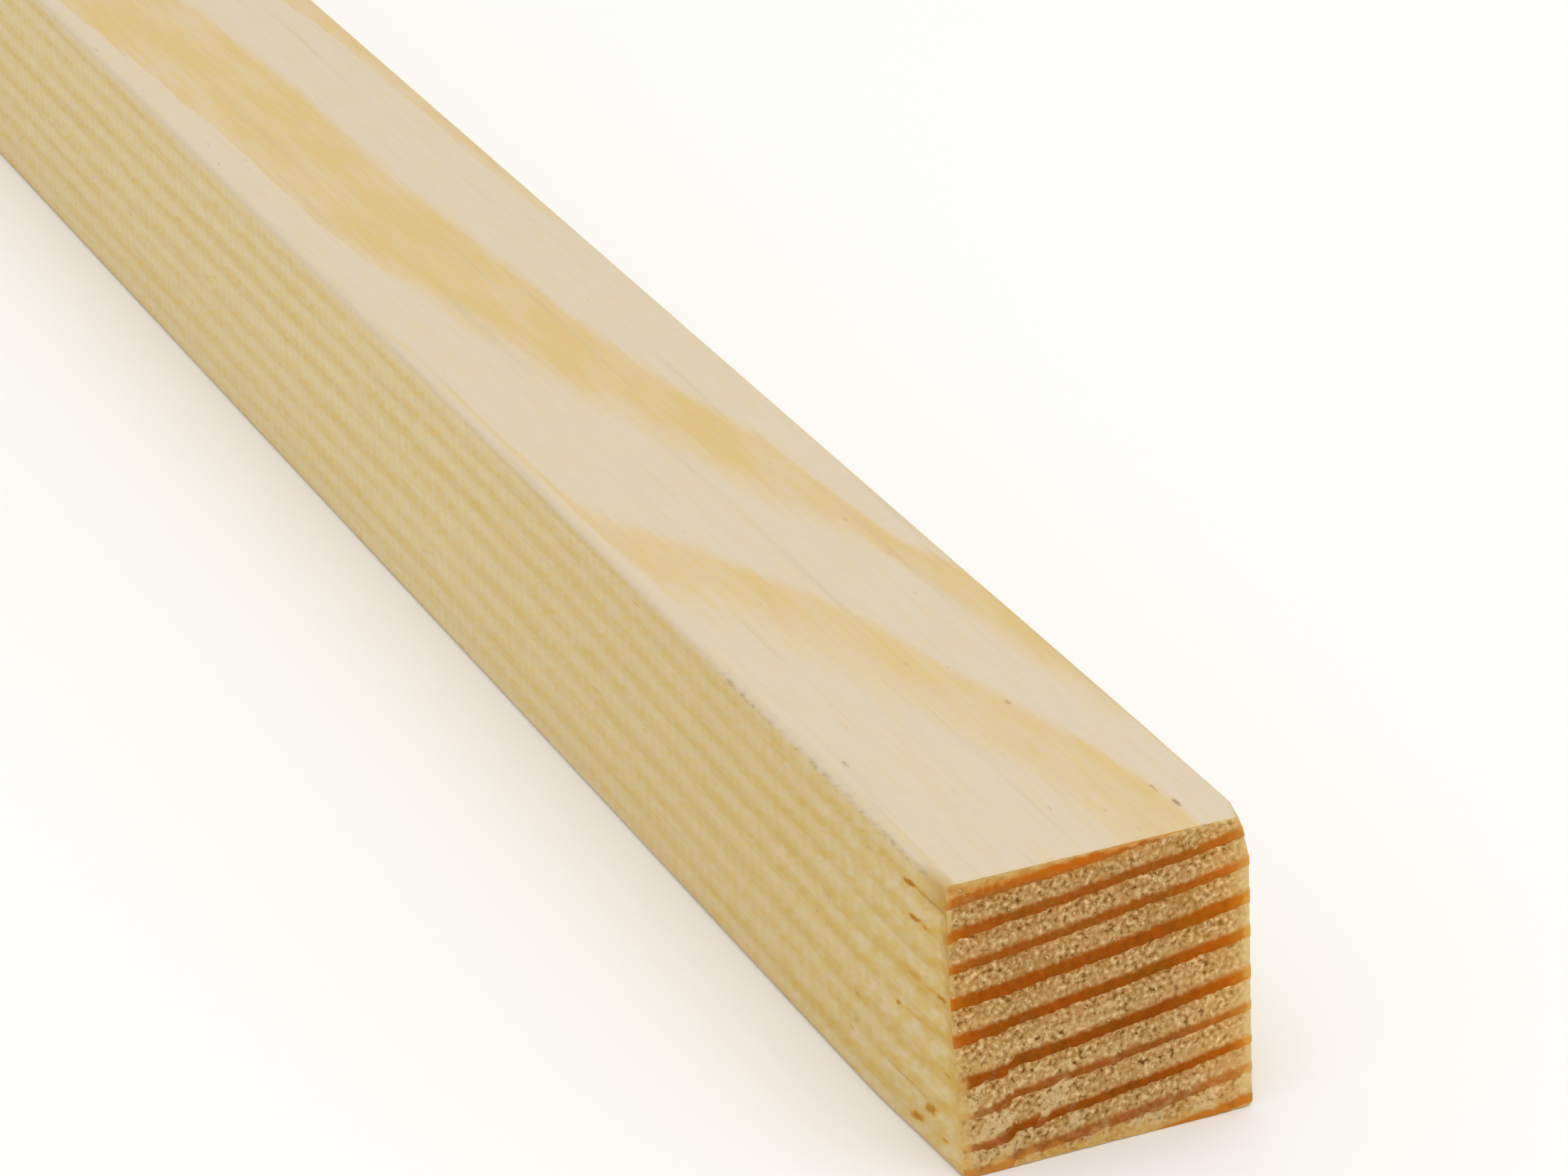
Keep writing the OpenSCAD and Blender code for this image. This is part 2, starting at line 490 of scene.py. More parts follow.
def soft_spot(tree, place, middle, halves, rises_deg, most):
    """Adds a blot that is strongest in the middle and gone at its rim, given by half sizes in mm."""
    turned = (0.0, -math.radians(rises_deg), 0.0)
    around = {"Vector": place, "Location": middle, "Rotation": turned, "Scale": halves}
    inside = add(tree, "ShaderNodeMapping", around, vector_type="TEXTURE")
    reach = add(tree, VECTOR, [inside], operation="LENGTH")
    return add(tree, RANGE, [reach, *SPOT_FADES, 0.0, most], **SMOOTH)


def placed_marks(tree, place, marks):
    """Adds the marks of a table, each at its own place on a long face near the near end."""
    shown = None
    for distance, across, height, half_length, half_thickness, rises_deg, most in marks:
        middle = (LENGTH / 2 - distance, across, height)
        if height == HEIGHT:
            halves = (half_length, half_thickness, MARK_DEPTH_MM)
        else:
            halves = (half_length, MARK_DEPTH_MM, half_thickness)
        spot = soft_spot(tree, place, middle, halves, rises_deg, most)
        if shown is None:
            shown = spot
        else:
            shown = add(tree, MATH, [shown, spot], operation="MAXIMUM")
    return shown


def planed_pine():
    """Makes the material of the four planed faces."""
    material, tree, shader, place = new_material("planed_pine_long_grain", 0.65, 0.15)
    rings = growth_rings(tree, place)
    to_end = end_distance(tree, place)
    parts = add(tree, PARTS, [place]).node.outputs
    facing = add(tree, "ShaderNodeNewGeometry").node.outputs["Normal"]
    facing = add(tree, VECTOR, [facing], operation="ABSOLUTE")
    upright = add(tree, PARTS, [facing]).node.outputs["Y"]
    # The eased upper left edge is painted as pale as the flat faces, a painted highlight where the rounded
    # edge turns up towards the light.
    from_left = add(tree, MATH, [parts[1], WIDTH / 2], operation="ADD")
    from_top = add(tree, MATH, [HEIGHT, parts[2]], operation="SUBTRACT")
    from_edge = add(tree, MATH, [from_left, from_top], operation="ADD")
    off_edge = add(tree, RANGE, [from_edge, *EDGE_MM])
    upright = add(tree, MATH, [upright, off_edge], operation="MULTIPLY")
    uneven = add(tree, RANGE, [upright, 0.0, 1.0, FLAT_UNEVEN, 1.0])
    # How amber the wood is: late wood most, in clouds, broken by dabs and by fine streaks along the
    # fibres. The stripes of the upright faces are fainter, and strongest near a sawn end.
    streaks = along_grain(tree, place, STREAK_MM, 3.0)
    dabs = along_grain(tree, place, DAB_MM, 2.0)
    slanting = add(
        tree, "ShaderNodeVectorRotate", {"Vector": place, "Angle": math.radians(STROKES_RISE_DEG)},
        rotation_type="Y_AXIS",
    )
    strokes = along_grain(tree, slanting, STROKE_MM, 2.0)
    dabs = add(tree, MIX, {0: upright, 2: dabs, 3: strokes})
    clouds = along_grain(tree, place, CLOUD_MM, 3.0)
    clouds = add(tree, RANGE, [clouds, *NOISE_SPREAD, *CLOUDED])
    stripes = add(tree, RANGE, [to_end, 0.0, STRIPES_EVEN_MM, *STRIPES])
    stripes = add(tree, MATH, [rings["wave"], stripes], operation="MULTIPLY")
    amber = add(tree, MIX, {0: upright, 2: rings["soft"], 3: stripes})
    amber = add(tree, MATH, [amber, clouds], operation="MULTIPLY")
    # The painted highlight on the eased edge takes the amber out there as well.
    amber = add(tree, MATH, [amber, off_edge], operation="MULTIPLY")
    dabbed = add(tree, RANGE, [dabs, *NOISE_SPREAD, -DABBED, DABBED])
    amber = add(tree, MATH, [dabbed, uneven, amber], operation="MULTIPLY_ADD")
    streaked = add(tree, RANGE, [streaks, *NOISE_SPREAD, *STREAKED])
    amber = add(tree, MATH, [amber, streaked], operation="ADD", use_clamp=True)
    late_colour = add(tree, MIX, {0: upright, 6: linear("#D3B77B"), 7: linear("#CBB27A")}, **COLOURS)
    colour = add(tree, MIX, {0: amber, 6: linear("#D5C5AA"), 7: late_colour}, **COLOURS)
    # A few faint grey streaks.
    grey = along_grain(tree, place, GREY_STREAK_MM, 2.0)
    grey = add(tree, RANGE, [grey, *GREY_FROM, 0.0, GREY])
    colour = add(tree, MIX, {0: grey, 6: colour, 7: linear("#BFB08A")}, **COLOURS)
    # The upright faces are yellower, and more so towards a sawn end.
    colour = add(tree, MIX, {0: upright, 6: colour, 7: UPRIGHT_TINT}, **TINT)
    for length, tint in ((YELLOWED_MM, YELLOWED_TINT), (SCORCHED_MM, SCORCHED_TINT)):
        share = add(tree, RANGE, [to_end, length, 0.0])
        share = add(tree, MATH, [share, upright], operation="MULTIPLY")
        colour = add(tree, MIX, {0: share, 6: colour, 7: tint}, **TINT)
    # Blotches of cream and of yellow cover the upright faces, strongest close to a sawn end.
    blotches = along_grain(tree, slanting, BLOTCH_MM, 2.0)
    blotches = add(tree, RANGE, [blotches, *NOISE_MIDDLE])
    blotch_colour = add(tree, MIX, {0: blotches, 6: CREAM_TINT, 7: YELLOW_TINT}, **COLOURS)
    blotched = add(tree, RANGE, [to_end, BLOTCHED_MM, 1.0, BLOTCHED_FAINTLY, 1.0])
    blotched = add(tree, MATH, [blotched, upright], operation="MULTIPLY")
    colour = add(tree, MIX, {0: blotched, 6: colour, 7: blotch_colour}, **TINT)
    # Dabs lighten and darken the wood as its own uneven tone, and the knife ripple as painted shade of its
    # faint ridges, both most on the upright faces.
    # At a scale of 1 the crests of a wave texture are 2 pi / 20 apart.
    knives = {"Vector": place, "Scale": 2 * math.pi / (20 * KNIFE_PITCH_MM), "Distortion": 0.4}
    ripple = add(tree, "ShaderNodeTexWave", knives, bands_direction="X").node.outputs["Fac"]
    tone_and_ripple_shade = add(tree, MATH, [ripple, RIPPLE_SHARE, dabs], operation="MULTIPLY_ADD")
    tone_and_ripple_shade = add(tree, MATH, [tone_and_ripple_shade, SHADE_MIDDLE], operation="SUBTRACT")
    tone_and_ripple_shade = add(tree, MATH, [tone_and_ripple_shade, uneven], operation="MULTIPLY")
    tone_and_ripple_shade = add(tree, MATH, [tone_and_ripple_shade, TONE_AND_RIPPLE_SHADE, 1.0], operation="MULTIPLY_ADD")
    colour = add(tree, VECTOR, {0: colour, "Scale": tone_and_ripple_shade}, operation="SCALE")
    # The last millimetre is ragged: yellow on the flat faces, brown at the top of the upright ones,
    # creamy below.
    border = add(tree, NOISE, {"Vector": place, "Scale": 1 / BORDER_RAG_MM, "Detail": 3.0})
    border = add(tree, MATH, [border, BORDER_RAGGED_MM, to_end], operation="MULTIPLY_ADD")
    narrower = add(tree, RANGE, [upright, 0.0, 1.0, BORDER_NARROWER_MM, 0.0])
    border = add(tree, MATH, [border, narrower], operation="ADD")
    border = add(tree, RANGE, [border, *BORDER_ENDS_MM, 0.0, BORDER])
    brown = add(tree, RANGE, [parts[2], 0.2 * HEIGHT, 0.85 * HEIGHT])
    border_colour = add(tree, MIX, {0: brown, 6: linear("#CDAA58"), 7: linear("#AE751C")}, **COLOURS)
    border_colour = add(tree, MIX, {0: upright, 6: linear("#D8C080"), 7: border_colour}, **COLOURS)
    colour = add(tree, MIX, {0: border, 6: colour, 7: border_colour}, **COLOURS)
    # Close to the near end the late wood is split: it shows orange brown in flecks, and dark lines run on
    # from them. A noise makes the marks ragged. The upper corner is stained a golden brown.
    warp = add(tree, NOISE, {"Vector": place, "Scale": 1 / WARP_SIZE_MM, "Detail": 2.0})
    warp = add(tree, VECTOR, [warp.node.outputs["Color"], (0.5, 0.5, 0.5)], operation="SUBTRACT")
    warp = add(tree, VECTOR, [warp, WARP_MM], operation="MULTIPLY")
    warped = add(tree, VECTOR, [place, warp], operation="ADD")
    corner = (LENGTH / 2, LEFT_MM, HEIGHT - STAIN_BELOW_MM)
    stain = soft_spot(tree, warped, corner, CORNER_STAIN_MM, 0.0, STAIN)
    colour = add(tree, MIX, {0: stain, 6: colour, 7: linear("#B88C2C")}, **COLOURS)
    flecks = placed_marks(tree, warped, FLECKS)
    fleck_colour = add(tree, RAMP, [flecks], stops=[(0.15, linear("#D2A848")), (0.8, linear("#AC6C04"))])
    flecks = add(tree, RANGE, [flecks, 0.0, 0.5])
    colour = add(tree, MIX, {0: flecks, 6: colour, 7: fleck_colour}, **COLOURS)
    splits = placed_marks(tree, warped, SPLITS)
    # A few resin canals show as short dark dashes, and the side is rubbed olive under its upper left edge.
    canals = along_grain(tree, place, CANAL_MM, 0.0)
    canals = add(tree, RANGE, [canals, *CANAL_FROM, 0.0, CANAL])
    at_edge = add(tree, MATH, [1.0, off_edge], operation="SUBTRACT")
    at_edge = add(tree, MATH, [at_edge, upright], operation="MULTIPLY")
    rubbed = add(tree, RANGE, [to_end, *RUBBED_MM])
    smudges = along_grain(tree, slanting, SMUDGE_MM, 2.0)
    smudges = add(tree, RANGE, [smudges, *SMUDGE_FROM, 0.0, SMUDGE])
    smudges = add(tree, MATH, [smudges, at_edge], operation="MULTIPLY")
    smudges = add(tree, MATH, [smudges, rubbed], operation="MULTIPLY")
    colour = add(tree, MIX, {0: smudges, 6: colour, 7: linear("#8C8048")}, **COLOURS)
    marks = add(tree, MATH, [canals, splits], operation="MAXIMUM")
    colour = add(tree, MIX, {0: marks, 6: colour, 7: linear("#7E4A04")}, **COLOURS)
    tree.links.new(colour, shader.inputs["Base Color"])
    # Knife ripples and fibre streaks as bump, because both are only a few thousandths of a millimetre deep.
    height = add(tree, MATH, [ripple, RIPPLE_HEIGHT, streaks], operation="MULTIPLY_ADD")
    bump = add(tree, "ShaderNodeBump", {"Height": height, "Strength": 0.25, "Distance": PLANED_BUMP_MM * MM})
    tree.links.new(bump, shader.inputs["Normal"])
    return material


long_grain = planed_pine()
print("made", long_grain.name)

# %% [markdown]
# ## Sawn pine, end grain
# Seen from the end, the same wood is much darker, because light goes down into the open cells. Late wood
# is orange brown and dense. Early wood is tan, with open pits and bright torn cell walls that are
# coarsest just after the sharp line of the year before. Near the edges light comes through the thin wood
# and it glows yellow.

# %% The end-grain material
# Size of single cells, and the noise that draws them, here and in the mesh
CELL_MM = 0.34
CELL_NOISE = {"Scale": 1 / CELL_MM, "Detail": 2.0, "Roughness": 0.47}
# Sizes of clumps of cells, of browner patches, of stretches of late wood and of the streaks in it
CLUMP_MM = 1.1
PATCH_MM = 4.0
LATE_STRETCH_MM = 1.8
LATE_STREAK_MM = 0.7
# How dark late wood is beside the formula, how many of its cells are open, and how much of it torn wood veils
LATE_STRENGTH = 1.12
LATE_CELLS = 0.03
LATE_VEIL = 0.15
# How many cells are open in each season, and how far clumps change that
OPEN_CELLS = ((0.0, 0.95), (0.15, 1.0), (0.6, 0.75))
CLUMPED = (0.5, 1.3)
# Values of a noise from which on brown patches, olive stretches, bright walls and dark pits show, and how
# strong the last two get
PATCH_FROM = (0.4, 0.7)
OLIVE_FROM = (0.4, 0.6)
BRIGHT_FROM = (0.50, 0.70)
BRIGHT = 0.72
DARK_FROM = (0.45, 0.30)
DARK = 0.95
# How pale torn wood is, from pits to walls
TORN_PALE = (0.5, 0.95)
# Tints of patches, of early and late wood in the lower half, and of streaks in late wood
PATCH_TINT = (0.86, 0.84, 0.74, 1.0)
LOW_EARLY_TINT = (1.03, 1.07, 1.12, 1.0)
LOW_LATE_TINT = (0.91, 0.88, 0.82, 1.0)
STREAK_TINT = (0.74, 0.66, 0.5, 1.0)
# Light that comes through early and late wood, and how strong it is at the left beside the right
EARLY_GLOW = (0.11, 0.065, 0.015, 1.0)
LATE_GLOW = (0.17, 0.04, 0.0, 1.0)
LEFT_GLOW = 0.35
# The distance that the bump of the cells is scaled by
SAWN_BUMP_MM = 0.2
# How deep light comes through at the top, and where the edge glows at the right and at the left, in mm
# inwards
TOP_GLOW_MM = 1.5
RIGHT_GLOW_MM = (1.6, 0.2)
LEFT_GLOW_MM = (1.4, 0.3)
# Where the painted golden glow of the lower left rim ends, in mm inwards, and how strong the painted glow of
# the whole rim is
GOLDEN_RIM_MM = (0.8, 0.4)
RIM = 0.76


def sawn_pine():
    """Makes the material of the two sawn ends."""
    material, tree, shader, place = new_material("sawn_pine_end_grain", 0.8, 0.06)
    torn = torn_share(tree, place)
    rings = growth_rings(tree, dragged(tree, place))
    early = add(
        tree, RAMP, [rings["season"]],
        stops=[(0.0, linear("#BB8848")), (0.3, linear("#B78A50")), (0.6, linear("#C09459"))],
    )
    # Broad patches of browner wood.
    patches = add(tree, NOISE, {"Vector": place, "Scale": 1 / PATCH_MM, "Detail": 2.0})
    patches = add(tree, RANGE, [patches, *PATCH_FROM])
    early = add(tree, MIX, {0: patches, 6: early, 7: PATCH_TINT}, **TINT)
    # In the lower half the early wood is a little paler and the late wood a little darker.
    across, height = add(tree, PARTS, [place]).node.outputs[1:3]
    low_half = add(tree, RANGE, [height, 0.6 * HEIGHT, 0.4 * HEIGHT])
    early = add(tree, MIX, {0: low_half, 6: early, 7: LOW_EARLY_TINT}, **TINT)
    late = add(tree, MATH, [rings["late"], LATE_STRENGTH], operation="MULTIPLY", use_clamp=True)
    # Late wood is orange brown in some stretches and olive brown in others.
    olive = add(tree, NOISE, {"Vector": place, "Scale": 1 / LATE_STRETCH_MM, "Detail": 2.0})
    olive = add(tree, RANGE, [olive, *OLIVE_FROM])
    late_colour = add(tree, MIX, {0: olive, 6: linear("#A55205"), 7: linear("#995406")}, **COLOURS)
    late_colour = add(tree, MIX, {0: low_half, 6: late_colour, 7: LOW_LATE_TINT}, **TINT)
    wood = add(tree, MIX, {0: late, 6: early, 7: late_colour}, **COLOURS)
    # Cells: bright torn walls and dark pits, most of them in early wood. The walls are partly their own pale
    # colour and partly a painted glint.
    dense = add(tree, RANGE, [late, 0.0, 1.0, 1.0, LATE_CELLS])
    open_cells = add(tree, CURVE, {"Value": rings["season"]}, points=OPEN_CELLS)
    open_cells = add(tree, MATH, [open_cells, dense], operation="MULTIPLY")
    clumps = add(tree, NOISE, {"Vector": place, "Scale": 1 / CLUMP_MM, "Detail": 2.0})
    clumps = add(tree, RANGE, [clumps, *NOISE_MIDDLE, *CLUMPED])
    open_cells = add(tree, MATH, [open_cells, clumps], operation="MULTIPLY", use_clamp=True)
    walls = add(tree, NOISE, {"Vector": place, **CELL_NOISE})
    bright = add(tree, RANGE, [walls, *BRIGHT_FROM, 0.0, BRIGHT])
    bright = add(tree, MATH, [bright, open_cells], operation="MULTIPLY")
    wood = add(tree, MIX, {0: bright, 6: wood, 7: linear("#F2D6A0")}, **COLOURS)
    # Torn tongues are pale in early wood, and veil late wood a little.
    pale = add(tree, RANGE, [walls, *NOISE_MIDDLE, *TORN_PALE])
    veil = add(tree, RANGE, [late, 0.0, 1.0, 1.0, LATE_VEIL])
    pale = add(tree, MATH, [veil, pale], operation="MULTIPLY")
    pale = add(tree, MATH, [torn, pale], operation="MULTIPLY")
    wood = add(tree, MIX, {0: pale, 6: wood, 7: linear("#D2B682")}, **COLOURS)
    # Dark pits: the open cells, partly their own colour and partly painted shade inside them.
    dark = add(tree, RANGE, [walls, *DARK_FROM, 0.0, DARK])
    dark = add(tree, MATH, [dark, open_cells], operation="MULTIPLY")
    wood = add(tree, MIX, {0: dark, 6: wood, 7: linear("#673D12")}, **COLOURS)
    # Late wood has darker streaks.
    rough_streaks = {"Vector": place, "Scale": 1 / LATE_STREAK_MM, "Detail": 4.0, "Roughness": 0.65}
    streaks_raw = add(tree, NOISE, rough_streaks)
    streaks = add(tree, RANGE, [streaks_raw, *NOISE_MIDDLE])
    streaks = add(tree, MATH, [streaks, rings["late"]], operation="MULTIPLY")
    wood = add(tree, MIX, {0: streaks, 6: wood, 7: STREAK_TINT}, **TINT)
    # Near the right edge, and less at the left one, light comes through the wood: late wood glows orange.
    right = add(tree, RANGE, [across, 0.15 * WIDTH, 0.5 * WIDTH], **SMOOTH)
    left = add(tree, RANGE, [across, -0.3 * WIDTH, -0.5 * WIDTH, 0.0, LEFT_GLOW])
    glow = add(tree, MATH, [right, left], operation="ADD")
    glow_colour = add(tree, MIX, {0: rings["late"], 6: EARLY_GLOW, 7: LATE_GLOW}, **COLOURS)
    wood = add(tree, MIX, {0: glow, 6: wood, 7: glow_colour}, **COLOURS, blend_type="ADD")
    glow_from, glow_to = (WIDTH / 2 - inwards for inwards in RIGHT_GLOW_MM)
    edge = add(tree, RANGE, [across, glow_from, glow_to, 0.0, 0.6])
    edge_colour = add(tree, MIX, {0: rings["late"], 6: linear("#D9B676"), 7: linear("#D48E27")}, **COLOURS)
    wood = add(tree, MIX, {0: edge, 6: wood, 7: edge_colour}, **COLOURS)
    # At the left edge the late wood ends in a bright orange, a painted glow of light through the thin edge,
    # above a lower stretch where the edge glows golden.
    golden = add(tree, RANGE, [height, 0.5 * HEIGHT, 0.4 * HEIGHT])
    glow_from, glow_to = (inwards - WIDTH / 2 for inwards in LEFT_GLOW_MM)
    left_edge = add(tree, RANGE, [across, glow_from, glow_to, 0.0, 0.5])
    left_edge = add(tree, MATH, [left_edge, rings["late"]], operation="MULTIPLY")
    orange = add(tree, MATH, [1.0, golden], operation="SUBTRACT")
    left_edge = add(tree, MATH, [left_edge, orange], operation="MULTIPLY")
    wood = add(tree, MIX, {0: left_edge, 6: wood, 7: linear("#C86E10")}, **COLOURS)
    # Under the top edge it glows too, on the left, where late wood lies just below.
    under_top = add(tree, RANGE, [height, HEIGHT - TOP_GLOW_MM, HEIGHT - 0.3 * TOP_GLOW_MM], **SMOOTH)
    left_part = add(tree, RANGE, [across, 0.3 * WIDTH, -0.05 * WIDTH, 0.0, 0.95])
    under_top = add(tree, MATH, [under_top, left_part], operation="MULTIPLY")
    flame = add(tree, RANGE, [streaks_raw, *NOISE_MIDDLE, 0.8, 1.0])
    under_top = add(tree, MATH, [under_top, flame], operation="MULTIPLY")
    in_band = add(tree, RANGE, [rings["late"], 0.02, 0.45])
    flame_colour = add(tree, MIX, {0: in_band, 6: linear("#CA9042"), 7: linear("#C26400")}, **COLOURS)
    wood = add(tree, MIX, {0: under_top, 6: wood, 7: flame_colour}, **COLOURS)
    # The rim is thin and broken, and its colour is a painted glow of light through the thin edge: golden at
    # the left and the bottom, and paler where the light comes through.
    rim = rim_share(tree, place)
    gold_from, gold_to = (inwards - WIDTH / 2 for inwards in GOLDEN_RIM_MM)
    golden_rim = add(tree, RANGE, [across, gold_from, gold_to])
    golden_rim = add(tree, MATH, [golden_rim, golden], operation="MULTIPLY")
    rim = add(tree, MATH, [rim, golden_rim], operation="MAXIMUM")
    rim = add(tree, MATH, [rim, RIM], operation="MULTIPLY")
    left_late = add(tree, MIX, {0: golden, 6: linear("#C8741A"), 7: linear("#D6AE62")}, **COLOURS)
    left_rim = add(tree, MIX, {0: rings["late"], 6: linear("#CDAE6A"), 7: left_late}, **COLOURS)
    right_rim = add(tree, MIX, {0: rings["late"], 6: linear("#E0C284"), 7: linear("#DCA245")}, **COLOURS)
    to_right = add(tree, RANGE, [across, -0.3 * WIDTH, 0.45 * WIDTH])
    rim_colour = add(tree, MIX, {0: to_right, 6: left_rim, 7: right_rim}, **COLOURS)
    at_bottom = add(tree, RANGE, [height, 2.0 * BOTTOM_RIM_MM, BOTTOM_RIM_MM])
    bottom_rim = add(tree, MIX, {0: rings["late"], 6: linear("#CFA455"), 7: linear("#C97C22")}, **COLOURS)
    rim_colour = add(tree, MIX, {0: at_bottom, 6: rim_colour, 7: bottom_rim}, **COLOURS)
    wood = add(tree, MIX, {0: rim, 6: wood, 7: rim_colour}, **COLOURS)
    tree.links.new(wood, shader.inputs["Base Color"])
    relief = add(tree, MATH, [walls, open_cells], operation="MULTIPLY")
    bump = add(tree, "ShaderNodeBump", {"Height": relief, "Strength": 0.45, "Distance": SAWN_BUMP_MM * MM})
    tree.links.new(bump, shader.inputs["Normal"])
    return material


end_grain = sawn_pine()
print("made", end_grain.name)

# %% [markdown]
# ## The batten's mesh
# A box with two rough ends could be cut up and displaced by hand. Here the whole shape follows a rule, so
# Geometry Nodes make it: a gridded box whose cells crowd towards the ends, its long edges rounded, and
# every point moved by the ring formula. Late wood keeps its full size on the planed faces and on the sawn
# ends, early wood lies lower between, and torn tongues stand a little higher. It stays one closed skin.

# %% Geometry Nodes that plane, ease and saw the batten
# Cells of the grid along the batten and across a face, and how strongly they crowd towards the ends
CELLS_ALONG = 70
CELLS_ACROSS = 160
CROWDING = 3.0
# At a sawn end the long faces roll in over the first length, and are drawn in over the second
ROLL_MM = 0.8
DRAWN_IN_MM = 3.0
# Wear of two edges dies out over a length from the near end, on the left and on the right. On the left it
# grows towards the bottom, drawn as shares of the height and of the wear there, and on the right it takes
# only the top.
WORN_LEFT_MM = 12.0
WORN_RIGHT_MM = 2.6
WORN_LOW = ((0.0, 1.0), (0.1, 0.95), (0.2, 0.55), (0.36, 0.35), (0.6, 0.15), (1.0, 0.0))
WORN_HIGH = 0.86
# Shares of half the width between which that wear sets in, on the left and on the right
WORN_LEFT_ACROSS = (-0.5, -1.0)
WORN_RIGHT_ACROSS = (0.6, 1.0)
# From here on a point of the raw box, which runs from -1 to 1, lies on an end
ON_END = 0.9999
# An edge that turns further than this, in radians, is one of the box's own
CRISP_TURN = 1.0
# Room for rounding when a point is told to be on a long face
TOUCH_MM = 0.001
# How much of the rim's depth the long faces roll in by, how much of its relief a rim keeps, and the
# roughness of early wood, of which the last tenth is left in late wood
ROLLED = 0.4
RIM_RELIEF = 0.4
EARLY_ROUGH = 1.1
END_ATTRIBUTE = "sawn_end"


def new_tree(name, inputs, output):
    """Starts a tree with its named inputs and one output, and returns it with the sockets of its inputs."""
    tree = bpy.data.node_groups.new(name, "GeometryNodeTree")
    for kind, input_names in inputs:
        for input_name in input_names:
            tree.interface.new_socket(input_name, in_out="INPUT", socket_type="NodeSocket" + kind)
    tree.interface.new_socket(output, in_out="OUTPUT", socket_type="NodeSocketGeometry")
    return tree, add(tree, "NodeGroupInput").node.outputs


